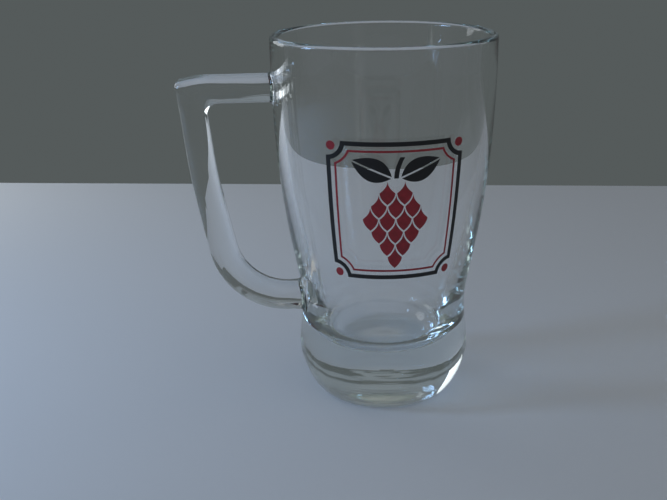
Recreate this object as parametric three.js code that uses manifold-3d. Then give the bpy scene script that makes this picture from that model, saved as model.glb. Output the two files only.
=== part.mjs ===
// A glass beer mug: a thick-based glass body, a glass handle fused to it at two flared pads,
// and a two-colour fired print on the front, made of thin separate islands of ink.
// Millimetres, Z up. The mug stands on Z = 0 around the Z axis, the handle reaches towards -X
// and the print faces -Y.

import * as THREE from 'three';
import { TessellateModifier } from 'three/addons/modifiers/TessellateModifier.js';
import { mergeVertices } from 'three/addons/utils/BufferGeometryUtils.js';
import Module from 'manifold-3d';

// Body, outside
const bodyHeight = 130;
const rimRadius = 39;
const waistRadius = 29.75;
const waistHeight = 34;
const footRadius = 31;
const footHeight = 17;
const standingRadius = 23;
const rimSweep = 64;
const waistSweep = 14;
const footSweep = 6;
const standingSweep = 3;

// Body, inside and underneath
const rimWall = 2.9;
const floorHeight = 19.8;
const floorRadius = 14.8;
const ledgeRadius = 19.3;
const ledgeHeight = 23.2;
const ledgePull = 0.42;
const floorCornerRadius = 22.6;
const floorCornerHeight = 29.5;
const floorCornerPull = 0.55;
const insideSweep = 18.5;
const insideLean = 0.06;
const recessDepth = 0.8;
const recessFlatRadius = 9;
const recessRadius = 17.5;

// Handle, in its own upright plane, where reach is the distance out from the mug's axis
const handleThickness = 9;
const handleDepth = 13.2;
const handleSquareness = 3.4;
const upperArmDrop = 17.7;
const lowerArmHeight = 36;
const gripTopReach = 66.8;
const gripMiddleReach = 63;
const gripMiddleHeight = 81;
const gripFootReach = 54;
const gripBowRadius = 200;
const innerCornerRadius = 5.5;
const shoulderRun = 6.7;
const shoulderDrop = 1.5;
const shoulderRadius = 30;
const tipRadius = 3;
const bendRadius = 25;
const weldFlare = 1.4;
const weldFlareLength = 3;
const weldGap = 0.3;
const weldRoot = 3;

// Print, laid out flat: across runs round the mug and up runs along Z
const printHeight = 76.5;
const frameWidth = 45;
const frameRise = 48;
const frameLine = 1.5;
const notchRadius = 5;
const innerLineInset = 2.8;
const innerLine = 0.7;
const cornerDotRadius = 1.5;
const cornerDotInset = 1.7;
const bractWidth = 5;
const bractLength = 8;
const bractGap = 0.55;
const bractBelly = 0.95;
const bractDrop = 0.55;
const bractsInRows = [2, 3, 4, 3, 2, 1];
const coneTop = 7;
const leafLength = 13.5;
const leafHalfWidth = 3.6;
const leafBellyShare = 0.4;
const leafVein = 0.6;
const leafTilt = THREE.MathUtils.degToRad(24);
const leafRoot = 1.6;
const leafHeight = 12.2;
const stemWidth = 1.5;
const stemLength = 7;
const stemLean = 1.8;
const stemHeight = 12;
const inkThickness = 0.25;
const inkGap = 0.15;

// Facets
const roundSides = 56;
const outsideSteps = [6, 4, 8];
const insideSteps = [9, 4, 4];
const fineSteps = [100, 100, 100];
const lipSteps = 6;
const handleSides = 24;
const armSteps = 9;
const armCrowding = 1.5;
const cornerSteps = 12;
const gripSteps = 10;
const bendSteps = 12;
const inkFacet = 3.4;
const inkSplits = 14;
const inkCurveSteps = 5;
const frameSideSteps = 14;
const mergeDistance = 1e-4;

// Materials, from the photograph
const clearGlass = new THREE.MeshStandardMaterial({ color: 0xd3dcda, roughness: 0.04, metalness: 0 });
clearGlass.transparent = true;
clearGlass.opacity = 0.35;
const redInk = new THREE.MeshStandardMaterial({ color: 0x7c1a22, roughness: 0.35, metalness: 0 });
const blackInk = new THREE.MeshStandardMaterial({ color: 0x141416, roughness: 0.35, metalness: 0 });

const wasm = await Module();
wasm.setup();

// A geometry with nothing but positions, its shared corners merged into one
function bare(geometry) {
  geometry.deleteAttribute('normal');
  geometry.deleteAttribute('uv');
  return mergeVertices(geometry, mergeDistance);
}

function toSolid(geometry) {
  const vertProperties = new Float32Array(geometry.attributes.position.array);
  const triVerts = new Uint32Array(geometry.index.array);
  return new wasm.Manifold(new wasm.Mesh({ numProp: 3, vertProperties, triVerts }));
}

function toGeometry(solid) {
  const { vertProperties, triVerts } = solid.getMesh();
  const geometry = new THREE.BufferGeometry();
  geometry.setAttribute('position', new THREE.BufferAttribute(new Float32Array(vertProperties), 3));
  geometry.setIndex(new THREE.BufferAttribute(new Uint32Array(triVerts), 1));
  return geometry;
}

function namedMesh(name, geometry, material) {
  geometry.computeVertexNormals();
  const mesh = new THREE.Mesh(geometry, material);
  mesh.name = name;
  return mesh;
}

function point(x, y) {
  return new THREE.Vector2(x, y);
}

// Body: a profile of radius and height turned round the Z axis

// The outside runs from the standing ring over the bulging foot and the waist up to the lip
function outsideCurves() {
  const lipRadius = rimWall / 2;
  const standing = point(standingRadius, 0);
  const foot = point(footRadius, footHeight);
  const waist = point(waistRadius, waistHeight);
  const lip = point(rimRadius, bodyHeight - lipRadius);
  const footUnder = point(footRadius, footHeight - footSweep);
  const footOver = point(footRadius, (2 * footHeight + waistHeight) / 3);
  const waistUnder = point(waistRadius, (footHeight + 2 * waistHeight) / 3);
  const waistOver = point(waistRadius, waistHeight + waistSweep);
  const lipUnder = point(rimRadius, lip.y - rimSweep);
  return [
    new THREE.CubicBezierCurve(standing, point(standingRadius + standingSweep, 0), footUnder, foot),
    new THREE.CubicBezierCurve(foot, footOver, waistUnder, waist),
    new THREE.CubicBezierCurve(waist, waistOver, lipUnder, lip),
  ];
}

// The inside runs down from the lip to a round corner, a ledge and a step down to the flat floor
function insideCurves() {
  const radius = rimRadius - rimWall;
  const lip = point(radius, bodyHeight - rimWall / 2);
  const corner = point(floorCornerRadius, floorCornerHeight);
  const ledge = point(ledgeRadius, ledgeHeight);
  const floor = point(floorRadius, floorHeight);
  const lean = point(insideLean, 1);
  const drop = (floorCornerHeight - ledgeHeight) * floorCornerPull;
  const run = (floorCornerRadius - ledgeRadius) * floorCornerPull;
  const step = (ledgeRadius - floorRadius) * ledgePull;
  const lipUnder = point(radius, lip.y - rimSweep);
  const cornerOver = corner.clone().addScaledVector(lean, insideSweep);
  const cornerUnder = corner.clone().addScaledVector(lean, -drop);
  const ledgeBeside = point(ledgeRadius + run, ledgeHeight);
  const ledgeBefore = point(ledgeRadius - step, ledgeHeight);
  const floorBeside = point(floorRadius + step, floorHeight);
  return [
    new THREE.CubicBezierCurve(lip, lipUnder, cornerOver, corner),
    new THREE.CubicBezierCurve(corner, cornerUnder, ledgeBeside, ledge),
    new THREE.CubicBezierCurve(ledge, ledgeBefore, floorBeside, floor),
  ];
}

// Points along joined curves, each curve in its own number of steps
function sampled(curves, steps) {
  return curves.flatMap((curve, i) => curve.getPoints(steps[i]).slice(i > 0 ? 1 : 0));
}

const outsideFine = sampled(outsideCurves(), fineSteps);

// The outside radius at a height, read off the finely divided profile
function bodyRadius(height) {
  const above = Math.max(1, outsideFine.findIndex((p) => p.y >= height));
  const low = outsideFine[above - 1];
  const high = outsideFine[above];
  const share = (height - low.y) / (high.y - low.y);
  return THREE.MathUtils.lerp(low.x, high.x, share);
}

function turned(profile) {
  return bare(new THREE.LatheGeometry(profile, roundSides).rotateX(Math.PI / 2));
}

function bodyGeometry() {
  const lipRadius = rimWall / 2;
  const lipCentre = point(rimRadius - lipRadius, bodyHeight - lipRadius);
  const lip = new THREE.EllipseCurve(lipCentre.x, lipCentre.y, lipRadius, lipRadius, 0, Math.PI);
  const profile = [
    point(0, recessDepth),
    point(recessFlatRadius, recessDepth),
    point(recessRadius, 0),
    ...sampled(outsideCurves(), outsideSteps),
    ...lip.getPoints(lipSteps).slice(1, -1),
    ...sampled(insideCurves(), insideSteps),
    point(0, floorHeight),
  ];
  return turned(profile);
}

// Everything inside the body's outside, grown by the weld gap: what the handle's ends are cut with
function bodyEnvelope() {
  const grown = sampled(outsideCurves(), outsideSteps).map((p) => point(p.x + weldGap, p.y));
  const foot = grown[0];
  const rim = grown[grown.length - 1];
  return turned([point(0, foot.y), ...grown, point(0, rim.y)]);
}

// Handle: sections between an inner and an outer outline, then cut to the body

// A bent line moved sideways by a distance, to the left of its own direction
function movedLine(points, distance) {
  const leftOf = (a, b) => point(a.y - b.y, b.x - a.x).normalize();
  return points.map((p, i) => {
    const before = i > 0 ? leftOf(points[i - 1], p) : leftOf(p, points[i + 1]);
    const after = i < points.length - 1 ? leftOf(p, points[i + 1]) : before;
    const mitre = before.clone().add(after);
    return p.clone().addScaledVector(mitre, distance / (1 + before.dot(after)));
  });
}

// The same line with an arc at each inner point: line, arc, line, arc, and so on
function roundedLine(points, radii) {
  const curves = [];
  let from = points[0];
  radii.forEach((radius, i) => {
    const corner = points[i + 1];
    const back = points[i].clone().sub(corner).normalize();
    const ahead = points[i + 2].clone().sub(corner).normalize();
    const halfAngle = Math.acos(back.dot(ahead)) / 2;
    const run = radius / Math.tan(halfAngle);
    const start = corner.clone().addScaledVector(back, run);
    const end = corner.clone().addScaledVector(ahead, run);
    const inward = back.clone().add(ahead).normalize();
    const centre = corner.clone().addScaledVector(inward, radius / Math.sin(halfAngle));
    const startAngle = start.clone().sub(centre).angle();
    const endAngle = end.clone().sub(centre).angle();
    const clockwise = back.cross(ahead) > 0;
    curves.push(new THREE.LineCurve(from, start));
    curves.push(new THREE.EllipseCurve(centre.x, centre.y, radius, radius, startAngle, endAngle, clockwise));
    from = end;
  });
  curves.push(new THREE.LineCurve(from, points[points.length - 1]));
  return curves;
}

function spaced(curves, steps) {
  const path = new THREE.CurvePath();
  path.curves = curves;
  return path.getSpacedPoints(steps);
}

// Points along an arm, closer together at the weld, in the line's own direction
function armPoints(line, weldReach, weldFirst) {
  const weld = point(weldReach, line.v1.y);
  const away = weldFirst ? line.v2 : line.v1;
  const points = [];
  for (let i = 0; i <= armSteps; i++) {
    points.push(weld.clone().lerp(away, (i / armSteps) ** armCrowding));
  }
  return weldFirst ? points : points.reverse();
}

function handleStations() {
  const upperArmHeight = bodyHeight - upperArmDrop;
  const centreLine = [
    point(0, upperArmHeight),
    point(gripTopReach, upperArmHeight),
    point(gripMiddleReach, gripMiddleHeight),
    point(gripFootReach, lowerArmHeight),
    point(0, lowerArmHeight),
  ];
  const half = handleThickness / 2;
  const inner = movedLine(centreLine, -half);
  const outer = movedLine(centreLine, half);

  // The top slopes down to a tip instead of running out to a square corner
  const [start, square, middle, foot, end] = outer;
  const tip = square.clone().lerp(middle, shoulderDrop / (square.y - middle.y));
  const shoulder = point(tip.x - shoulderRun, start.y);
  const outerCorners = [start, shoulder, tip, middle, foot, end];
  const outerRadii = [shoulderRadius, tipRadius, gripBowRadius + half, bendRadius + half];
  const innerRadii = [innerCornerRadius, gripBowRadius - half, bendRadius - half];

  const inside = roundedLine(inner, innerRadii);
  const outside = roundedLine(outerCorners, outerRadii);
  const upperWeld = bodyRadius(upperArmHeight);
  const lowerWeld = bodyRadius(lowerArmHeight);
  const innerPoints = [
    ...armPoints(inside[0], upperWeld - weldRoot, true),
    ...spaced(inside.slice(1, 2), cornerSteps).slice(1),
    ...spaced(inside.slice(2, 5), gripSteps).slice(1),
    ...spaced(inside.slice(5, 6), bendSteps).slice(1),
    ...armPoints(inside[6], lowerWeld - weldRoot, false).slice(1),
  ];
  const outerPoints = [
    ...armPoints(outside[0], upperWeld - weldRoot, true),
    ...spaced(outside.slice(1, 4), cornerSteps).slice(1),
    ...spaced(outside.slice(4, 7), gripSteps).slice(1),
    ...spaced(outside.slice(7, 8), bendSteps).slice(1),
    ...armPoints(outside[8], lowerWeld - weldRoot, false).slice(1),
  ];
  return innerPoints.map((a, i) => {
    const b = outerPoints[i];
    const reach = (a.x + b.x) / 2;
    const height = (a.y + b.y) / 2;
    const clear = Math.max(0, reach - bodyRadius(height));
    const spread = weldFlare * Math.max(0, 1 - clear / weldFlareLength) ** 2;
    return { inner: a, outer: b, spread };
  });
}

// One closed skin through rings of points, with flat ends, or joined end to end in a loop
function loft(rings, looped = false) {
  const sides = rings[0].length;
  const positions = rings.flat().flatMap((p) => [p.x, p.y, p.z]);
  const index = [];
  const bays = looped ? rings.length : rings.length - 1;
  for (let bay = 0; bay < bays; bay++) {
    const here = bay * sides;
    const next = ((bay + 1) % rings.length) * sides;
    for (let side = 0; side < sides; side++) {
      const beside = (side + 1) % sides;
      index.push(here + side, here + beside, next + side);
      index.push(here + beside, next + beside, next + side);
    }
  }
  const last = bays * sides;
  for (let side = 1; side < sides - 1 && !looped; side++) {
    index.push(0, side + 1, side);
    index.push(last, last + side, last + side + 1);
  }
  const geometry = new THREE.BufferGeometry();
  geometry.setAttribute('position', new THREE.Float32BufferAttribute(positions, 3));
  geometry.setIndex(index);
  return geometry;
}

function handleGeometry() {
  const rounded = (wave) => Math.sign(wave) * Math.abs(wave) ** (2 / handleSquareness);
  const rings = handleStations().map(({ inner, outer, spread }) => {
    const centre = inner.clone().add(outer).divideScalar(2);
    const across = outer.clone().sub(inner).divideScalar(2);
    const halfThickness = across.length() + spread;
    const outward = across.normalize();
    const ring = [];
    for (let side = 0; side < handleSides; side++) {
      const angle = (side / handleSides) * 2 * Math.PI;
      const thick = halfThickness * rounded(Math.cos(angle));
      const deep = (handleDepth / 2 + spread) * rounded(Math.sin(angle));
      const place = centre.clone().addScaledVector(outward, thick);
      ring.push(new THREE.Vector3(-place.x, deep, place.y));
    }
    return ring;
  });
  return toGeometry(toSolid(loft(rings)).subtract(toSolid(bodyEnvelope())));
}

// Print: flat films, across in X, up in Y and outwards in Z, then wrapped round the body
function wrapped(geometry) {
  const places = geometry.attributes.position;
  const turnRadius = bodyRadius(printHeight);
  for (let i = 0; i < places.count; i++) {
    const height = printHeight + places.getY(i);
    const angle = places.getX(i) / turnRadius;
    const radius = bodyRadius(height) + inkGap + places.getZ(i);
    places.setXYZ(i, radius * Math.sin(angle), -radius * Math.cos(angle), height);
  }
  return geometry;
}

function patch(shape) {
  const film = { depth: inkThickness, bevelEnabled: false, curveSegments: inkCurveSteps };
  const flat = new THREE.ExtrudeGeometry(shape, film);
  return wrapped(bare(new TessellateModifier(inkFacet, inkSplits).modify(flat)));
}

// A rectangle whose corners are bitten out by quarter circles, drawn an inset inside the frame's edge
function notchedOutline(inset) {
  const halfWidth = frameWidth / 2;
  const halfRise = frameRise / 2;
  const radius = notchRadius + inset;
  const lead = Math.asin(inset / radius);
  const corners = [[1, 1], [-1, 1], [-1, -1], [1, -1]];
  const bites = corners.map(([side, end], i) => {
    const base = ((i + 3) * Math.PI) / 2;
    const first = base - lead;
    const final = base - Math.PI / 2 + lead;
    const centre = point(side * halfWidth, end * halfRise);
    const notch = new THREE.EllipseCurve(centre.x, centre.y, radius, radius, first, final, true);
    return notch.getPoints(inkCurveSteps);
  });
  return bites.flatMap((bite, i) => {
    const side = new THREE.LineCurve(bite[inkCurveSteps], bites[(i + 1) % bites.length][0]);
    return [...bite, ...side.getPoints(frameSideSteps).slice(1, -1)];
  });
}

function notchedRing(inset, line) {
  const outside = notchedOutline(inset);
  const inside = notchedOutline(inset + line);
  const lift = (p, out) => new THREE.Vector3(p.x, p.y, out);
  const sections = outside.map((p, i) => [
    lift(p, 0),
    lift(inside[i], 0),
    lift(inside[i], inkThickness),
    lift(p, inkThickness),
  ]);
  return wrapped(loft(sections, true));
}

// A scale of the hop cone: a full, pointed lower edge, and an upper edge hollowed to fit the row above
function bractShape(across, up) {
  const half = bractWidth / 2;
  const tip = bractLength / 2;
  const shape = new THREE.Shape();
  const outAcross = half * bractBelly;
  const outUp = tip * bractDrop;
  const inAcross = half - outAcross;
  const inUp = tip - outUp;
  shape.moveTo(across, up - tip);
  shape.quadraticCurveTo(across + outAcross, up - outUp, across + half, up);
  shape.quadraticCurveTo(across + inAcross, up + inUp, across, up + tip);
  shape.quadraticCurveTo(across - inAcross, up + inUp, across - half, up);
  shape.quadraticCurveTo(across - outAcross, up - outUp, across, up - tip);
  return shape;
}

// Half of a pointed leaf, on one side of its vein
function halfLeafShape(side, edge) {
  const along = point(side * Math.cos(leafTilt), Math.sin(leafTilt));
  const beside = point(-along.y * edge, along.x * edge);
  const root = point(side * leafRoot, leafHeight).addScaledVector(beside, leafVein / 2);
  const tip = root.clone().addScaledVector(along, leafLength);
  const belly = root.clone().lerp(tip, leafBellyShare).addScaledVector(beside, leafHalfWidth * 2);
  const shape = new THREE.Shape();
  shape.moveTo(root.x, root.y);
  shape.lineTo(tip.x, tip.y);
  shape.quadraticCurveTo(belly.x, belly.y, root.x, root.y);
  return shape;
}

function stemShape() {
  const half = stemWidth / 2;
  const top = stemHeight + stemLength;
  const middle = stemHeight + stemLength / 2;
  const shape = new THREE.Shape();
  shape.moveTo(-half, stemHeight);
  shape.lineTo(half, stemHeight);
  shape.quadraticCurveTo(half, middle, stemLean + half, top);
  shape.lineTo(stemLean - half, top);
  shape.quadraticCurveTo(-half, middle, -half, stemHeight);
  return shape;
}

function dotShape(side, end) {
  const across = side * (frameWidth / 2 - cornerDotInset);
  const up = end * (frameRise / 2 - cornerDotInset);
  return new THREE.Shape().absarc(across, up, cornerDotRadius, 0, 2 * Math.PI);
}

function printGroup() {
  const print = new THREE.Group();
  const ink = (name, geometry, material) => print.add(namedMesh(name, geometry, material));
  ink('print_frame', notchedRing(0, frameLine), blackInk);
  ink('print_inner_line', notchedRing(innerLineInset, innerLine), redInk);
  bractsInRows.forEach((count, row) => {
    const up = coneTop - row * (bractLength / 2 + bractGap);
    for (let i = 0; i < count; i++) {
      const across = (i - (count - 1) / 2) * (bractWidth + bractGap);
      ink(`print_bract_${row + 1}_${i + 1}`, patch(bractShape(across, up)), redInk);
    }
  });
  for (const [sideName, side] of [['left', -1], ['right', 1]]) {
    ink(`print_leaf_${sideName}_upper`, patch(halfLeafShape(side, side)), blackInk);
    ink(`print_leaf_${sideName}_lower`, patch(halfLeafShape(side, -side)), blackInk);
    ink(`print_dot_${sideName}_top`, patch(dotShape(side, 1)), redInk);
    ink(`print_dot_${sideName}_bottom`, patch(dotShape(side, -1)), redInk);
  }
  ink('print_stem', patch(stemShape()), blackInk);
  return print;
}

const mug = new THREE.Group();
mug.add(namedMesh('mug_body', bodyGeometry(), clearGlass));
mug.add(namedMesh('handle', handleGeometry(), clearGlass));
mug.add(printGroup());

export default mug;
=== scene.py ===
import math

import bmesh
import bpy
from mathutils import Matrix, Vector


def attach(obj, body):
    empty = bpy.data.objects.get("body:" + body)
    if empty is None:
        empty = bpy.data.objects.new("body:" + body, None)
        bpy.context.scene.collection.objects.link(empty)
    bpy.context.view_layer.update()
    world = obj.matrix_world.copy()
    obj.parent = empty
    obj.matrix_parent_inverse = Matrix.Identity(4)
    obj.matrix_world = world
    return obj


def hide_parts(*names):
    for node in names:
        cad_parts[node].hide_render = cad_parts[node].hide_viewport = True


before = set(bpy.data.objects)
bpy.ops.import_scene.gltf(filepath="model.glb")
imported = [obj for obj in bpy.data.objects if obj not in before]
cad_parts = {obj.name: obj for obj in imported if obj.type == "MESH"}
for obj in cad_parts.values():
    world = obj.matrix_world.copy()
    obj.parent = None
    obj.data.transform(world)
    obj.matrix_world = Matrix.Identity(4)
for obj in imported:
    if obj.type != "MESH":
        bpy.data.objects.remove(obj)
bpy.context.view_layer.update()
scene = bpy.context.scene


# Camera
# It stands a little left of the print and looks down past the rim, as in the photograph.
# Its place, turn and lens come from fitting the rim, the foot and the handle to the picture.
camera_place = Vector((-0.03976, -0.3489, 0.1711))
camera_heading = math.radians(-3.54)
camera_pitch = math.radians(18.75)
camera_roll = math.radians(-0.89)
camera_lens = 54.73
sensor_width = 36
nearest_seen = 0.01

camera = bpy.data.objects.new("camera", bpy.data.cameras.new("camera"))
camera.data.sensor_fit = "HORIZONTAL"
camera.data.sensor_width = sensor_width
camera.data.lens = camera_lens
camera.data.clip_start = nearest_seen
scene.collection.objects.link(camera)
heading = Matrix.Rotation(camera_heading, 4, "Z")
pitch = Matrix.Rotation(math.pi / 2 - camera_pitch, 4, "X")
roll = Matrix.Rotation(camera_roll, 4, "Z")
camera.matrix_world = Matrix.Translation(camera_place) @ heading @ pitch @ roll
scene.camera = camera


# Mug body
# One piece of clear pressed glass: a heavy foot, a waist, and a wall that opens to a fire-polished rim.
# It is turned about the Z axis from its half section, as the glass is spun against its mould.
MM = 0.001

# Half section from the middle of the underside, up the outside, over the lip and down to the floor:
# reach and height of each point, then of the pull on the curve before it and of the pull after it
half_section = [
    ((0, 0.8), (0, 0.8), (7, 0.8)),
    ((17.5, 0), (12, 0), (18.8, 0)),
    ((23, 0), (21, 0), (26, 0)),
    ((31, 17), (31, 11), (31, 22.67)),
    ((29.75, 34), (29.75, 28.33), (29.75, 48)),
    ((39, 128.55), (39, 64.55), (39, 129.35)),
    ((37.55, 130), (38.35, 130), (36.75, 130)),
    ((36.1, 128.55), (36.1, 129.35), (36.1, 64.55)),
    ((22.6, 29.5), (23.71, 48), (22.39, 26.03)),
    ((19.3, 23.2), (21.12, 23.2), (17.41, 23.2)),
    ((14.8, 19.8), (16.69, 19.8), (9.9, 19.8)),
    ((0, 19.8), (4.9, 19.8), (0, 19.8)),
]
section_steps = 18
body_sides = 448
seam_gap = 0.002


# A curve through rows of points with their pulls, in millimetres
def drawn_curve(name, rows, steps):
    data = bpy.data.curves.new(name, "CURVE")
    data.dimensions = "3D"
    spline = data.splines.new("BEZIER")
    spline.resolution_u = steps
    spline.bezier_points.add(len(rows) - 1)
    for point, (place, before, after) in zip(spline.bezier_points, rows):
        point.handle_left_type = "FREE"
        point.handle_right_type = "FREE"
        point.co = Vector((*place, 0)) * MM
        point.handle_left = Vector((*before, 0)) * MM
        point.handle_right = Vector((*after, 0)) * MM
    curve = bpy.data.objects.new(name, data)
    scene.collection.objects.link(curve)
    return curve


def new_tree(name, inputs):
    tree = bpy.data.node_groups.new(name, "GeometryNodeTree")
    for label, kind in inputs.items():
        tree.interface.new_socket(label, in_out="INPUT", socket_type=kind)
    tree.interface.new_socket("Geometry", in_out="OUTPUT", socket_type="NodeSocketGeometry")
    return tree


# Adds a node: a socket given as an input is linked, and anything else is set as a value
def add(tree, kind, inputs=None, **settings):
    node = tree.nodes.new(kind)
    for name, value in settings.items():
        setattr(node, name, value)
    for key, value in (inputs or {}).items():
        if isinstance(value, bpy.types.NodeSocket):
            tree.links.new(value, node.inputs[key])
        else:
            node.inputs[key].default_value = value
    return node


def calc(tree, operation, *values):
    return add(tree, "ShaderNodeMath", dict(enumerate(values)), operation=operation).outputs[0]


# Ends a tree: loose seams and poles closed, smooth, solid mesh, one material
def close_tree(tree, geometry, material):
    joined = add(tree, "GeometryNodeMergeByDistance", {"Geometry": geometry, "Distance": seam_gap * MM})
    smooth = add(tree, "GeometryNodeSetShadeSmooth", {"Geometry": joined.outputs[0]})
    solid = add(tree, "GeometryNodeRealizeInstances", {"Geometry": smooth.outputs[0]})
    finished = add(tree, "GeometryNodeSetMaterial", {"Geometry": solid.outputs[0], "Material": material})
    add(tree, "NodeGroupOutput", {"Geometry": finished.outputs[0]})


def empty_piece(name):
    piece = bpy.data.objects.new(name, bpy.data.meshes.new(name))
    scene.collection.objects.link(piece)
    return piece


# Sets a tree to work on a piece, with values for the tree's named inputs
def grow(piece, tree, values):
    modifier = piece.modifiers.new(tree.name, "NODES")
    modifier.node_group = tree
    sockets = {item.name: item.identifier for item in tree.interface.items_tree if item.in_out == "INPUT"}
    for label, value in values.items():
        modifier[sockets[label]] = value


# Keeps what a piece's modifiers made as its plain mesh
def settle(piece):
    mesh = bpy.data.meshes.new_from_object(piece.evaluated_get(bpy.context.evaluated_depsgraph_get()))
    mesh.name = piece.name
    piece.modifiers.clear()
    piece.data = mesh
    bpy.context.view_layer.update()


# Writes a number on every face under a name that materials can read
def marked(tree, geometry, name, value):
    mark = {"Geometry": geometry, "Name": name, "Value": value}
    return add(tree, "GeometryNodeStoreNamedAttribute", mark, data_type="FLOAT", domain="FACE").outputs[0]


# Points of a drawn curve, and how many there are
def curve_points(tree, drawn):
    shape = add(tree, "GeometryNodeObjectInfo", {"Object": drawn}).outputs["Geometry"]
    return add(tree, "GeometryNodeCurveToPoints", {"Curve": shape}, mode="EVALUATED").outputs["Points"]


def point_count(tree, points):
    counted = add(tree, "GeometryNodeAttributeDomainSize", {0: points}, component="POINTCLOUD")
    return counted.outputs["Point Count"]


# One of those points, found by its place in the row
def point_at(tree, points, step):
    place = add(tree, "GeometryNodeInputPosition").outputs[0]
    read = {"Geometry": points, "Value": place, "Index": step}
    found = add(tree, "GeometryNodeSampleIndex", read, data_type="FLOAT_VECTOR").outputs["Value"]
    return add(tree, "ShaderNodeSeparateXYZ", {0: found}).outputs


# A sheet of faces to be bent into shape: its mesh, and each point's step along a curve and its column
def blank_sheet(tree, steps, columns):
    posts = calc(tree, "ADD", columns, 1)
    sheet = add(tree, "GeometryNodeMeshGrid", {"Vertices X": posts, "Vertices Y": steps}).outputs["Mesh"]
    index = add(tree, "GeometryNodeInputIndex").outputs[0]
    step = calc(tree, "MODULO", index, steps)
    column = calc(tree, "FLOOR", calc(tree, "DIVIDE", index, steps))
    return sheet, step, column


def moved(tree, geometry, place):
    return add(tree, "GeometryNodeSetPosition", {"Geometry": geometry, "Position": place}).outputs[0]


turning = new_tree("turned_glass", {
    "Half section": "NodeSocketObject",
    "Sides": "NodeSocketInt",
    "Glass": "NodeSocketMaterial",
})
given = turning.nodes.new("NodeGroupInput").outputs
section = curve_points(turning, given["Half section"])
skin, step, side = blank_sheet(turning, point_count(turning, section), given["Sides"])
angle = calc(turning, "DIVIDE", calc(turning, "MULTIPLY", side, math.tau), given["Sides"])
spot = point_at(turning, section, step)
turned = add(turning, "ShaderNodeCombineXYZ", {
    "X": calc(turning, "MULTIPLY", spot["X"], calc(turning, "COSINE", angle)),
    "Y": calc(turning, "MULTIPLY", spot["X"], calc(turning, "SINE", angle)),
    "Z": spot["Y"],
}).outputs[0]
skin = marked(turning, moved(turning, skin, turned), "wall", 1)
close_tree(turning, skin, given["Glass"])

# Clear glass: long waves left by the mould, fine rings chilled into the foot, a trace of haze,
# and a grey body colour that shows where the glass is thick
glass_bending = 1.52
glass_tint = (0.66, 0.74, 0.71, 1)
glass_tint_strength = 10
wave_scale = 25
wave_height = 0.015
ring_scale = (22, 22, 420)
ring_height = 0.05
full_rings_up_to = 30
no_rings_above = 60
haze_scale = 60
haze_starts = 0.4
haze_full = 0.8
haze_roughness = 0.008


def noise(tree, place, scale, detail):
    return add(tree, "ShaderNodeTexNoise", {"Vector": place, "Scale": scale, "Detail": detail}).outputs[0]


# A value that goes from start to end while another goes from low to high
def ranged(tree, value, low, high, start=0.0, end=1.0):
    return add(tree, "ShaderNodeMapRange", {0: value, 1: low, 2: high, 3: start, 4: end}).outputs[0]


clear_glass = bpy.data.materials.new("clear_glass")
clear_glass.use_nodes = True
glass_nodes = clear_glass.node_tree
glass_finish = glass_nodes.nodes["Principled BSDF"]
glass_finish.inputs["Base Color"].default_value = (1, 1, 1, 1)
glass_finish.inputs["Metallic"].default_value = 0
glass_finish.inputs["IOR"].default_value = glass_bending
glass_finish.inputs["Transmission Weight"].default_value = 1
glass_place = add(glass_nodes, "ShaderNodeTexCoord").outputs["Object"]
glass_height = add(glass_nodes, "ShaderNodeSeparateXYZ", {0: glass_place}).outputs["Z"]
swirl = noise(glass_nodes, glass_place, wave_scale, detail=1)
waves = calc(glass_nodes, "MULTIPLY", swirl, wave_height)
stretched = add(glass_nodes, "ShaderNodeMapping", {"Vector": glass_place, "Scale": ring_scale}).outputs[0]
rings = noise(glass_nodes, stretched, scale=1, detail=2)
low_down = ranged(glass_nodes, glass_height, full_rings_up_to * MM, no_rings_above * MM, ring_height, 0.0)
relief = calc(glass_nodes, "MULTIPLY_ADD", rings, low_down, waves)
bump = add(glass_nodes, "ShaderNodeBump", {"Strength": 1, "Distance": MM, "Height": relief}).outputs[0]
glass_nodes.links.new(bump, glass_finish.inputs["Normal"])
haze = noise(glass_nodes, glass_place, haze_scale, detail=2)
gloss = ranged(glass_nodes, haze, haze_starts, haze_full, 0.0, haze_roughness)
glass_nodes.links.new(gloss, glass_finish.inputs["Roughness"])
body_colour = add(glass_nodes, "ShaderNodeVolumeAbsorption")
body_colour.inputs["Color"].default_value = glass_tint
body_colour.inputs["Density"].default_value = glass_tint_strength
glass_nodes.links.new(body_colour.outputs[0], glass_nodes.nodes["Material Output"].inputs["Volume"])

mug_body = empty_piece("mug_body_glass")
body_curve = drawn_curve("half_section", half_section, section_steps)
grow(mug_body, turning, {"Half section": body_curve, "Sides": body_sides, "Glass": clear_glass})
settle(mug_body)
bpy.data.objects.remove(body_curve)
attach(mug_body, "root")
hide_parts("mug_body")


# Handle
# A flat bar of the same glass, pressed to a sloping top, a sharp outer corner and a long bend below.
# Its two ends are fused to the wall while hot, and each spreads there into a small fillet.
upper_arm = 112.3
lower_arm = 36
bar_thickness = 9
bar_depth = 13.2
bar_edge = 3.2
bar_crown = 0.8
fillet = 1.3
sunk = 0.3
crisp = 0.05
handle_steps = 14
handle_sides = 56
sunk_runs = 4
clear_of_glass = 0.1


# How far the wall stands out at a height
def wall_reach(height):
    beside = Vector((-clear_of_glass, 0, height * MM))
    return -mug_body.ray_cast(beside, Vector((1, 0, 0)))[1].x / MM


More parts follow.
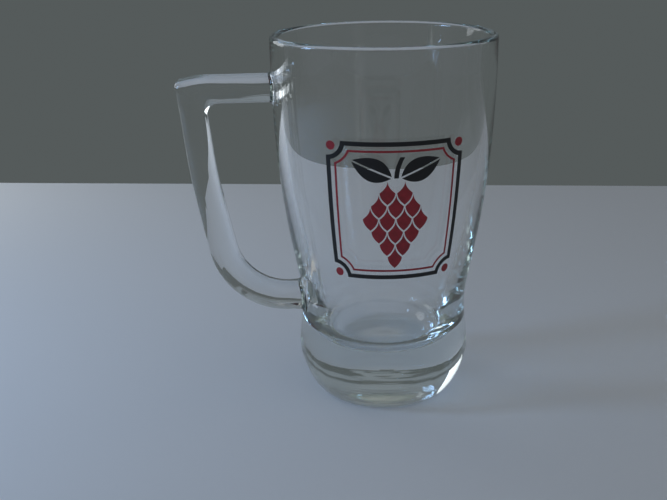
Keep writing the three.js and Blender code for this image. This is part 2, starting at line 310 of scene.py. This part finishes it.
# Corners of the two edges seen from the front: reach, height, and how far from the corner its round starts.
# The two lists run in step, from the middle of the upper weld to the middle of the lower one.
top = upper_arm + bar_thickness / 2
under = upper_arm - bar_thickness / 2
low_top = lower_arm + bar_thickness / 2
low_under = lower_arm - bar_thickness / 2
outer_edge = [
    (wall_reach(upper_arm) - sunk, upper_arm, 0),
    (wall_reach(top + fillet) - sunk, top + fillet, crisp),
    (wall_reach(top + fillet), top + fillet, crisp),
    (wall_reach(top), top, fillet),
    (65, top, 3.5),
    (71.7, top - 1.5, 1.7),
    (67.8, 81.2, 9),
    (58.2, low_under, 23.5),
    (wall_reach(low_under), low_under, fillet),
    (wall_reach(low_under - fillet), low_under - fillet, crisp),
    (wall_reach(low_under - fillet) - sunk, low_under - fillet, crisp),
    (wall_reach(lower_arm) - sunk, lower_arm, 0),
]
inner_edge = [
    (wall_reach(upper_arm) - sunk, upper_arm, 0),
    (wall_reach(under - fillet) - sunk, under - fillet, crisp),
    (wall_reach(under - fillet), under - fillet, crisp),
    (wall_reach(under), under, fillet),
    (50, under, 3),
    (61.5, under, 4.6),
    (58.5, 80.9, 9),
    (49.8, low_top, 15.5),
    (wall_reach(low_top), low_top, fillet),
    (wall_reach(low_top + fillet), low_top + fillet, crisp),
    (wall_reach(low_top + fillet) - sunk, low_top + fillet, crisp),
    (wall_reach(lower_arm) - sunk, lower_arm, 0),
]
# Half depth of the bar before and after each corner, and how far it follows the round wall, from 0 to 1
half_depth = bar_depth / 2
flared = half_depth + fillet
spread = [
    (0, 0, 1),
    (flared, flared, 1),
    (flared, flared, 1),
    (flared, half_depth, 1),
    (half_depth, half_depth, 0),
    (half_depth, half_depth, 0),
    (half_depth, half_depth, 0),
    (half_depth, half_depth, 0),
    (half_depth, flared, 1),
    (flared, flared, 1),
    (flared, flared, 1),
    (0, 0, 1),
]


# Two curve points for each corner, so that both edges have the same number
def rounded_corners(corners):
    nearly_straight = 0.01
    rows = []
    for i, (reach, height, cut) in enumerate(corners):
        corner = Vector((reach, height))
        if i == 0 or i == len(corners) - 1:
            rows.append((corner, corner, corner))
            continue
        back = (Vector(corners[i - 1][:2]) - corner).normalized()
        ahead = (Vector(corners[i + 1][:2]) - corner).normalized()
        turn = math.pi - back.angle(ahead)
        pull = 2 / 3
        if turn >= nearly_straight:
            pull = (4 / 3) * math.tan(turn / 4) / math.tan(turn / 2)
        start = corner + back * cut
        end = corner + ahead * cut
        rows.append((start, start, start - back * cut * pull))
        rows.append((end, end - ahead * cut * pull, end))
    return rows


# The depth narrows through the fillets on the same round as the edges do
def spread_rows(corners):
    quarter_pull = 0.5523
    rows = []
    for before, after, wrap in corners[1:-1]:
        neck = Vector((min(before, after), wrap))
        start = Vector((before, wrap))
        end = Vector((after, wrap))
        rows.append((start, start, start.lerp(neck, quarter_pull)))
        rows.append((end, end.lerp(neck, quarter_pull), end))
    first = Vector((corners[0][0], corners[0][2]))
    last = Vector((corners[-1][0], corners[-1][2]))
    return [(first, first, first), *rows, (last, last, last)]


# Straight runs get pulls a third of the way along, so that their points are spaced evenly
def evened(rows):
    rows = [list(map(Vector, row)) for row in rows]
    for here, ahead in zip(rows, rows[1:]):
        if here[2] == here[0] and ahead[1] == ahead[0]:
            here[2] = here[0].lerp(ahead[0], 1 / 3)
            ahead[1] = here[0].lerp(ahead[0], 2 / 3)
    return rows


# Place on a rounded rectangle: how far along one of its half sizes, out to its corner rounds
def rounded_side(tree, half, radius, wave):
    flat = calc(tree, "MULTIPLY", calc(tree, "SIGN", wave), calc(tree, "SUBTRACT", half, radius))
    return calc(tree, "MULTIPLY_ADD", radius, wave, flat)


def between(tree, low, high, share):
    return calc(tree, "MULTIPLY_ADD", calc(tree, "SUBTRACT", high, low), share, low)


forming = new_tree("pressed_bar", {
    "Inner edge": "NodeSocketObject",
    "Outer edge": "NodeSocketObject",
    "Spread": "NodeSocketObject",
    "Sides": "NodeSocketInt",
    "Edge radius": "NodeSocketFloat",
    "Crown": "NodeSocketFloat",
    "Sunk steps": "NodeSocketInt",
    "Glass": "NodeSocketMaterial",
})
given = forming.nodes.new("NodeGroupInput").outputs
inner_points = curve_points(forming, given["Inner edge"])
outer_points = curve_points(forming, given["Outer edge"])
spread_points = curve_points(forming, given["Spread"])
count = point_count(forming, inner_points)
skin, step, side = blank_sheet(forming, count, given["Sides"])
angle = calc(forming, "DIVIDE", calc(forming, "MULTIPLY", side, math.tau), given["Sides"])
inner = point_at(forming, inner_points, step)
outer = point_at(forming, outer_points, step)
width = point_at(forming, spread_points, step)
run = calc(forming, "SUBTRACT", outer["X"], inner["X"])
climb = calc(forming, "SUBTRACT", outer["Y"], inner["Y"])
span_squared = calc(forming, "MULTIPLY_ADD", run, run, calc(forming, "MULTIPLY", climb, climb))
half_span = calc(forming, "MULTIPLY", calc(forming, "SQRT", span_squared), 0.5)
edge = calc(forming, "MINIMUM", given["Edge radius"], calc(forming, "MINIMUM", half_span, width["X"]))
thick = rounded_side(forming, half_span, edge, calc(forming, "COSINE", angle))
depth = rounded_side(forming, width["X"], edge, calc(forming, "SINE", angle))
off_middle = calc(forming, "DIVIDE", thick, half_span)
wrap = calc(forming, "DIVIDE", width["Y"], MM)
# The broad faces swell a little between the edges, away from the welds
swell = calc(forming, "MULTIPLY", given["Crown"], calc(forming, "SUBTRACT", 1, wrap))
lost = calc(forming, "MULTIPLY", swell, calc(forming, "MULTIPLY", off_middle, off_middle))
depth = calc(forming, "MULTIPLY", depth, calc(forming, "SUBTRACT", 1, lost))
share = calc(forming, "MULTIPLY_ADD", off_middle, 0.5, 0.5)
reach = between(forming, inner["X"], outer["X"], share)
height = between(forming, inner["Y"], outer["Y"], share)
# At the welds the reach is measured from the axis, so that the end follows the round wall
reach_squared = calc(forming, "MULTIPLY", reach, reach)
depth_squared = calc(forming, "MULTIPLY", depth, depth)
leg = calc(forming, "SQRT", calc(forming, "SUBTRACT", reach_squared, depth_squared))
reach = between(forming, reach, leg, wrap)
formed = add(forming, "ShaderNodeCombineXYZ", {
    "X": calc(forming, "MULTIPLY", reach, -1),
    "Y": depth,
    "Z": height,
}).outputs[0]
skin = moved(forming, skin, formed)
# Faces of both ends as far as the wall's own surface
last = calc(forming, "SUBTRACT", count, 1)
from_end = calc(forming, "MINIMUM", step, calc(forming, "SUBTRACT", last, step))
read = add(forming, "GeometryNodeFieldOnDomain", {0: from_end}, data_type="FLOAT", domain="POINT")
skin = marked(forming, skin, "sunk", calc(forming, "LESS_THAN", read.outputs[0], given["Sunk steps"]))
close_tree(forming, skin, given["Glass"])

inner_curve = drawn_curve("inner_edge", evened(rounded_corners(inner_edge)), handle_steps)
outer_curve = drawn_curve("outer_edge", evened(rounded_corners(outer_edge)), handle_steps)
spread_curve = drawn_curve("spread", evened(spread_rows(spread)), handle_steps)
handle = empty_piece("handle_glass")
grow(handle, forming, {
    "Inner edge": inner_curve,
    "Outer edge": outer_curve,
    "Spread": spread_curve,
    "Sides": handle_sides,
    "Edge radius": bar_edge * MM,
    "Crown": bar_crown / half_depth,
    "Sunk steps": sunk_runs * handle_steps,
    "Glass": clear_glass,
})
settle(handle)
for curve in (inner_curve, outer_curve, spread_curve):
    bpy.data.objects.remove(curve)

# The two pieces are one glass at the welds: the handle's sunk ends and the wall under them are clear
weld_margin = 0.05
weld_curve = 2

zone = bpy.data.node_groups.new("weld_zone", "ShaderNodeTree")
zone.interface.new_socket("Place", in_out="INPUT", socket_type="NodeSocketVector")
zone.interface.new_socket("Height", in_out="INPUT", socket_type="NodeSocketFloat")
zone.interface.new_socket("Reach", in_out="INPUT", socket_type="NodeSocketFloat")
zone.interface.new_socket("Mask", in_out="OUTPUT", socket_type="NodeSocketFloat")
given = zone.nodes.new("NodeGroupInput").outputs
spot = add(zone, "ShaderNodeSeparateXYZ", {0: given["Place"]}).outputs
off_height = calc(zone, "ABSOLUTE", calc(zone, "SUBTRACT", spot["Z"], given["Height"]))
past_side = calc(zone, "SUBTRACT", calc(zone, "ABSOLUTE", spot["Y"]), (flared - bar_edge) * MM)
past_top = calc(zone, "SUBTRACT", off_height, (bar_thickness / 2 + fillet - bar_edge) * MM)
past = add(zone, "ShaderNodeCombineXYZ", {
    "X": calc(zone, "MAXIMUM", past_side, 0),
    "Y": calc(zone, "MAXIMUM", past_top, 0),
}).outputs[0]
corner = add(zone, "ShaderNodeVectorMath", {0: past}, operation="LENGTH").outputs["Value"]
outline = calc(zone, "LESS_THAN", corner, (bar_edge - weld_margin) * MM)
outward = calc(zone, "LESS_THAN", given["Reach"], calc(zone, "MULTIPLY", spot["X"], -1))
add(zone, "NodeGroupOutput", {"Mask": calc(zone, "MULTIPLY", outline, outward)})

welds = []
for arm in (upper_arm, lower_arm):
    weld = add(glass_nodes, "ShaderNodeGroup", node_tree=zone)
    glass_nodes.links.new(glass_place, weld.inputs["Place"])
    weld.inputs["Height"].default_value = arm * MM
    weld.inputs["Reach"].default_value = (wall_reach(arm) - weld_curve) * MM
    welds.append(weld.outputs[0])
under_weld = calc(glass_nodes, "MAXIMUM", *welds)
wall_mark = add(glass_nodes, "ShaderNodeAttribute", attribute_name="wall").outputs["Fac"]
sunk_mark = add(glass_nodes, "ShaderNodeAttribute", attribute_name="sunk").outputs["Fac"]
joined = calc(glass_nodes, "MAXIMUM", sunk_mark, calc(glass_nodes, "MULTIPLY", wall_mark, under_weld))

# Light on its way to the board and the print goes straight through, less what each surface throws back
# and what the standing ring keeps from the board under it
edge_loss = 0.25
ring_loss = 0.9
ring_loss_full = 0.2
ring_loss_ends = 0.7

passing = add(glass_nodes, "ShaderNodeLightPath").outputs
lighting = calc(glass_nodes, "MAXIMUM", passing["Is Shadow Ray"], passing["Is Diffuse Ray"])
thrown_back = add(glass_nodes, "ShaderNodeLayerWeight", {"Blend": edge_loss}).outputs["Facing"]
resting = ranged(glass_nodes, glass_height, ring_loss_full * MM, ring_loss_ends * MM, ring_loss, 0.0)
kept_out = calc(glass_nodes, "MAXIMUM", thrown_back, resting)
stopped = calc(glass_nodes, "MAXIMUM", kept_out, calc(glass_nodes, "SUBTRACT", 1, lighting))
solid = calc(glass_nodes, "MULTIPLY", calc(glass_nodes, "SUBTRACT", 1, joined), stopped)
glass_nodes.links.new(solid, glass_finish.inputs["Alpha"])

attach(handle, "root")
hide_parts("handle")


# Printed frame
# A black line with bitten corners round the print: enamel screened on to the wall and fired.
# It is ruled between its two edges, laid on the wall along rays to the axis, and given a thickness.
print_height = 76.5
print_middle = [(0, 0)]
frame_width = 45
frame_rise = 48
notch_radius = 5
frame_line = 1.5
line_steps = 28
line_columns = 2
film_thickness = 0.1
film_edge = math.radians(40)
frame_colour = (0.008, 0.008, 0.009, 1)


# Curve points along a circle
def arc_rows(centre, radius, start, end, pieces):
    sweep = (end - start) / pieces
    reach = radius * (4 / 3) * math.tan(sweep / 4)
    rows = []
    for i in range(pieces + 1):
        turn = start + i * sweep
        place = Vector(centre) + radius * Vector((math.cos(turn), math.sin(turn)))
        along = reach * Vector((-math.sin(turn), math.cos(turn)))
        rows.append([place, place - along, place + along])
    rows[0][1] = rows[0][0]
    rows[-1][2] = rows[-1][0]
    return rows


# Round a rectangle with a quarter circle bitten out of each corner, drawn an inset inside the frame's edge
def notched_rows(inset):
    radius = notch_radius + inset
    lead = math.asin(inset / radius)
    rows = []
    for i, (side, end) in enumerate(((1, 1), (-1, 1), (-1, -1), (1, -1))):
        base = (i + 3) * math.pi / 2
        corner = (side * frame_width / 2, end * frame_rise / 2)
        rows += arc_rows(corner, radius, base - lead, base - math.pi / 2 + lead, pieces=1)
    return evened([*rows, (rows[0][0], rows[0][0], rows[0][0])])


# Places to print at, as loose points: across and up from the middle of the print
def spots(name, places):
    mesh = bpy.data.meshes.new(name)
    mesh.from_pydata([(across * MM, up * MM, 0) for across, up in places], [], [])
    marks = bpy.data.objects.new(name, mesh)
    scene.collection.objects.link(marks)
    return marks


printing = new_tree("fired_film", {
    "First edge": "NodeSocketObject",
    "Second edge": "NodeSocketObject",
    "Columns": "NodeSocketInt",
    "Places": "NodeSocketObject",
    "Wall": "NodeSocketObject",
    "Height": "NodeSocketFloat",
    "Turn radius": "NodeSocketFloat",
    "Ink": "NodeSocketMaterial",
})
given = printing.nodes.new("NodeGroupInput").outputs
first_points = curve_points(printing, given["First edge"])
second_points = curve_points(printing, given["Second edge"])
skin, step, column = blank_sheet(printing, point_count(printing, first_points), given["Columns"])
share = calc(printing, "DIVIDE", column, given["Columns"])
first = point_at(printing, first_points, step)
second = point_at(printing, second_points, step)
flat = add(printing, "ShaderNodeCombineXYZ", {
    "X": between(printing, first["X"], second["X"], share),
    "Y": between(printing, first["Y"], second["Y"], share),
}).outputs[0]
skin = moved(printing, skin, flat)
marks = add(printing, "GeometryNodeObjectInfo", {"Object": given["Places"]}).outputs["Geometry"]
skin = add(printing, "GeometryNodeInstanceOnPoints", {"Points": marks, "Instance": skin}).outputs[0]
skin = add(printing, "GeometryNodeRealizeInstances", {"Geometry": skin}).outputs[0]
place = add(printing, "GeometryNodeInputPosition").outputs[0]
laid = add(printing, "ShaderNodeSeparateXYZ", {0: place}).outputs
angle = calc(printing, "DIVIDE", laid["X"], given["Turn radius"])
aside = calc(printing, "SINE", angle)
ahead = calc(printing, "COSINE", angle)
outside = add(printing, "ShaderNodeCombineXYZ", {
    "X": calc(printing, "MULTIPLY", aside, clear_of_glass),
    "Y": calc(printing, "MULTIPLY", ahead, -clear_of_glass),
    "Z": calc(printing, "ADD", laid["Y"], given["Height"]),
}).outputs[0]
inward = add(printing, "ShaderNodeCombineXYZ", {
    "X": calc(printing, "MULTIPLY", aside, -1),
    "Y": ahead,
}).outputs[0]
wall = add(printing, "GeometryNodeObjectInfo", {"Object": given["Wall"]}).outputs["Geometry"]
landed = add(printing, "GeometryNodeRaycast", {
    "Target Geometry": wall,
    "Source Position": outside,
    "Ray Direction": inward,
    "Ray Length": clear_of_glass,
}).outputs["Hit Position"]
close_tree(printing, moved(printing, skin, landed), given["Ink"])


# One print piece: its two edges, the places where it is repeated, and its ink
def printed(name, edges, steps, columns, places, ink):
    piece = empty_piece(name)
    first_edge = drawn_curve("first_edge", edges[0], steps)
    second_edge = drawn_curve("second_edge", edges[1], steps)
    marks = spots("places", places)
    grow(piece, printing, {
        "First edge": first_edge,
        "Second edge": second_edge,
        "Columns": columns,
        "Places": marks,
        "Wall": mug_body,
        "Height": print_height * MM,
        "Turn radius": wall_reach(print_height) * MM,
        "Ink": ink,
    })
    film = piece.modifiers.new("film", "SOLIDIFY")
    film.thickness = film_thickness * MM
    film.offset = 0
    settle(piece)
    piece.data.set_sharp_from_angle(angle=film_edge)
    for helper in (first_edge, second_edge, marks):
        bpy.data.objects.remove(helper)
    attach(piece, "root")
    return piece


# What both enamels share: mottled colour, uneven gloss and the fine grain left by the screen
mottle_scale = 420
mottle_range = (0.3, 0.7)
mottle_shades = (0.78, 1.1)
mottle_roughness = (0.3, 0.45)
screen_scale = 2600
screen_depth = 0.01

grain = bpy.data.node_groups.new("enamel_grain", "ShaderNodeTree")
grain.interface.new_socket("Colour", in_out="INPUT", socket_type="NodeSocketColor")
grain.interface.new_socket("Colour", in_out="OUTPUT", socket_type="NodeSocketColor")
grain.interface.new_socket("Roughness", in_out="OUTPUT", socket_type="NodeSocketFloat")
grain.interface.new_socket("Normal", in_out="OUTPUT", socket_type="NodeSocketVector")
ink_colour = grain.nodes.new("NodeGroupInput").outputs["Colour"]
place = add(grain, "ShaderNodeTexCoord").outputs["Object"]
mottle = noise(grain, place, mottle_scale, detail=3)
screen_marks = noise(grain, place, screen_scale, detail=1)
shade = ranged(grain, mottle, *mottle_range, *mottle_shades)
tinted = add(grain, "ShaderNodeVectorMath", {0: ink_colour, "Scale": shade}, operation="SCALE")
rough = add(grain, "ShaderNodeBump", {"Strength": 1, "Distance": screen_depth * MM, "Height": screen_marks})
add(grain, "NodeGroupOutput", {
    "Colour": tinted.outputs[0],
    "Roughness": ranged(grain, mottle, *mottle_range, *mottle_roughness),
    "Normal": rough.outputs[0],
})


def enamel(name, colour):
    ink = bpy.data.materials.new(name)
    ink.use_nodes = True
    ink_nodes = ink.node_tree
    fired = add(ink_nodes, "ShaderNodeGroup", node_tree=grain)
    fired.inputs["Colour"].default_value = colour
    ink_finish = ink_nodes.nodes["Principled BSDF"]
    ink_nodes.links.new(fired.outputs["Colour"], ink_finish.inputs["Base Color"])
    ink_nodes.links.new(fired.outputs["Roughness"], ink_finish.inputs["Roughness"])
    ink_nodes.links.new(fired.outputs["Normal"], ink_finish.inputs["Normal"])
    return ink


black_ink = enamel("black_ink", frame_colour)
frame_edges = notched_rows(0), notched_rows(frame_line)
print_frame = printed("print_frame_ink", frame_edges, line_steps, line_columns, print_middle, black_ink)
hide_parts("print_frame")


# Inner line
# A thin red line that follows the frame inside it, the same fired enamel in the second colour.
# It is ruled and laid on the wall as the frame is.
inner_inset = 2.8
inner_line = 0.7
inner_colour = (0.42, 0.022, 0.035, 1)

red_ink = enamel("red_ink", inner_colour)
inner_edges = notched_rows(inner_inset), notched_rows(inner_inset + inner_line)
print_line = printed("print_inner_line_ink", inner_edges, line_steps, line_columns, print_middle, red_ink)
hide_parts("print_inner_line")


# Hop cone
# Fifteen overlapping scales of red enamel with clear glass between them, hanging point down.
# One scale is drawn and repeated in rows.
bract_width = 5
bract_length = 8
bract_gap = 0.55
bract_belly = 0.95
bract_drop = 0.55
bracts_in_rows = [2, 3, 4, 3, 2, 1]
cone_top = 7
bract_steps = 8
bract_columns = 6


# Curve points through every other place of a list, bent by the ones between
def bent_rows(places):
    places = [Vector(place) for place in places]
    rows = []
    for i in range(0, len(places), 2):
        before = places[max(i - 1, 0)]
        after = places[min(i + 1, len(places) - 1)]
        rows.append((places[i], places[i].lerp(before, 2 / 3), places[i].lerp(after, 2 / 3)))
    return rows


def bract_edge(side):
    half = side * bract_width / 2
    tip = bract_length / 2
    out = (half * bract_belly, -tip * bract_drop)
    back = (half * (1 - bract_belly), tip * (1 - bract_drop))
    return bent_rows([(0, -tip), out, (half, 0), back, (0, tip)])


bract_places = []
bract_nodes = []
for row, bracts in enumerate(bracts_in_rows):
    for i in range(bracts):
        across = (i - (bracts - 1) / 2) * (bract_width + bract_gap)
        bract_places.append((across, cone_top - row * (bract_length / 2 + bract_gap)))
        bract_nodes.append(f"print_bract_{row + 1}_{i + 1}")
bract_edges = bract_edge(-1), bract_edge(1)
hop_cone = printed("hop_cone_ink", bract_edges, bract_steps, bract_columns, bract_places, red_ink)
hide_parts(*bract_nodes)


# Leaves
# Two pointed leaves of black enamel over the cone, screened and fired with the frame.
# Each is in two halves, with its vein left clear between them.
leaf_length = 13.5
leaf_half_width = 3.6
leaf_belly_share = 0.4
leaf_vein = 0.6
leaf_tilt = math.radians(24)
leaf_root = 1.6
leaf_height = 12.2
leaf_steps = 16
leaf_columns = 4

for side_name, side in (("left", -1), ("right", 1)):
    for edge_name, edge in (("upper", 1), ("lower", -1)):
        along = Vector((side * math.cos(leaf_tilt), math.sin(leaf_tilt)))
        beside = Vector((-side * edge * along.y, side * edge * along.x))
        root = Vector((side * leaf_root, leaf_height)) + beside * leaf_vein / 2
        tip = root + along * leaf_length
        belly = root.lerp(tip, leaf_belly_share) + beside * leaf_half_width * 2
        leaf_edges = bent_rows([root, (root + tip) / 2, tip]), bent_rows([root, belly, tip])
        node = f"print_leaf_{side_name}_{edge_name}"
        leaf = printed(f"{node}_ink", leaf_edges, leaf_steps, leaf_columns, print_middle, black_ink)
        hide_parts(node)


# Stem
# A short bent stalk of black enamel between the leaves, screened and fired with them.
# It stands clear of them and of the cone.
stem_width = 1.5
stem_length = 7
stem_lean = 1.8
stem_height = 12
stem_steps = 10

stem_edges = []
for half in (-stem_width / 2, stem_width / 2):
    foot = (half, stem_height)
    middle = (half, stem_height + stem_length / 2)
    stem_edges.append(bent_rows([foot, middle, (half + stem_lean, stem_height + stem_length)]))
stem = printed("print_stem_ink", stem_edges, stem_steps, line_columns, print_middle, black_ink)
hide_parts("print_stem")


# Corner dots
# Four round dots of red enamel, one in each bite of the frame, fired with the rest of the red.
# One dot is drawn as two half circles and repeated.
dot_radius = 1.5
dot_inset = 1.7
dot_steps = 8
dot_columns = 6
dot_bottom = -math.pi / 2

dot_edges = []
for half_turn in (-math.pi, math.pi):
    dot_edges.append(arc_rows((0, 0), dot_radius, dot_bottom, dot_bottom + half_turn, pieces=2))
dot_places = []
dot_nodes = []
for side_name, side in (("left", -1), ("right", 1)):
    for end_name, end in (("top", 1), ("bottom", -1)):
        dot_places.append((side * (frame_width / 2 - dot_inset), end * (frame_rise / 2 - dot_inset)))
        dot_nodes.append(f"print_dot_{side_name}_{end_name}")
dots = printed("print_dots_ink", dot_edges, dot_steps, dot_columns, dot_places, red_ink)
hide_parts(*dot_nodes)


# Floor and light
# A plain pale board under the mug and a grey surround.
# Soft daylight comes from two windows on the left, one of them behind, and a dim ceiling fills it in.
board_half = 0.7
board_back = 0.284
board_top = -0.0002
board_turn = math.radians(-8)
board_tone = (0.78, 0.80, 0.82, 1)
board_roughness = 0.7

floor_mesh = bpy.data.meshes.new("floor")
shape = bmesh.new()
for corner in (
    (-board_half, -board_half),
    (board_half, -board_half),
    (board_half, board_back),
    (-board_half, board_back),
):
    shape.verts.new((*corner, board_top))
shape.faces.new(shape.verts)
shape.to_mesh(floor_mesh)
shape.free()
floor = bpy.data.objects.new("floor", floor_mesh)
floor.rotation_euler.z = board_turn
scene.collection.objects.link(floor)
pale = bpy.data.materials.new("pale_floor")
pale.use_nodes = True
pale_finish = pale.node_tree.nodes["Principled BSDF"]
pale_finish.inputs["Base Color"].default_value = board_tone
pale_finish.inputs["Roughness"].default_value = board_roughness
floor_mesh.materials.append(pale)

wall_dim = (0.091, 0.104, 0.104, 1)
wall_pale = (0.185, 0.215, 0.235, 1)
room_low = (0.2, 0.22, 0.25, 1)
room_high = (0.03, 0.033, 0.036, 1)
overhead_tone = (0.09, 0.1, 0.11, 1)
wall_rise = (0.0, 0.2)
room_rise = (-0.1, 0.35)
front_to_back = (-0.2, 0.4)
overhead_rise = (0.25, 0.8)


def blended(tree, share, first, second):
    return add(tree, "ShaderNodeMix", {0: share, 6: first, 7: second}, data_type="RGBA").outputs[2]


world = bpy.data.worlds.new("surround")
world.use_nodes = True
air = world.node_tree
direction = add(air, "ShaderNodeTexCoord").outputs["Generated"]
toward = add(air, "ShaderNodeSeparateXYZ", {0: direction}).outputs
# The wall behind by its height: dim low down, then a pale band, a dim one, and pale above
wall_tones = add(air, "ShaderNodeValToRGB", {0: ranged(air, toward["Z"], *wall_rise)})
tones = wall_tones.color_ramp.elements
tones[0].color = wall_dim
tones[1].color = wall_pale
for stop, tone in (
    (0.22, wall_dim),
    (0.28, wall_pale),
    (0.46, wall_pale),
    (0.53, wall_dim),
    (0.68, wall_dim),
    (0.76, wall_pale),
):
    tones.new(stop).color = tone
# The room in front: as pale as the board at its edge, darker above
room = blended(air, ranged(air, toward["Z"], *room_rise), room_low, room_high)
walls = blended(air, ranged(air, toward["Y"], *front_to_back), room, wall_tones.outputs[0])
surround = blended(air, ranged(air, toward["Z"], *overhead_rise), walls, overhead_tone)
air.links.new(surround, air.nodes["Background"].inputs["Color"])
scene.world = world

lit_point = Vector((0, 0, 0.06))


def soft_light(name, place, size, power, colour):
    lamp = bpy.data.lights.new(name, "AREA")
    lamp.shape = "RECTANGLE"
    lamp.size, lamp.size_y = size
    lamp.energy = power
    lamp.color = colour
    light = bpy.data.objects.new(name, lamp)
    light.location = place
    light.rotation_euler = (lit_point - Vector(place)).to_track_quat("-Z", "Y").to_euler()
    scene.collection.objects.link(light)


soft_light("window", place=(-0.42, -0.04, 0.24), size=(0.08, 0.17), power=0.6, colour=(0.38, 0.61, 1.0))
soft_light("far_window", place=(-0.36, 0.32, 0.17), size=(0.22, 0.2), power=0.28, colour=(0.9, 0.95, 1.0))
soft_light("ceiling", place=(0.0, -0.2, 1.2), size=(1.4, 1.4), power=2.5, colour=(1.0, 0.96, 0.91))

# Enough passes through the glass for light to come out of the foot again
glass_passes = 64
clear_passes = 32
scene.view_settings.view_transform = "Standard"
scene.cycles.max_bounces = glass_passes
scene.cycles.glossy_bounces = glass_passes
scene.cycles.transmission_bounces = glass_passes
scene.cycles.transparent_max_bounces = clear_passes
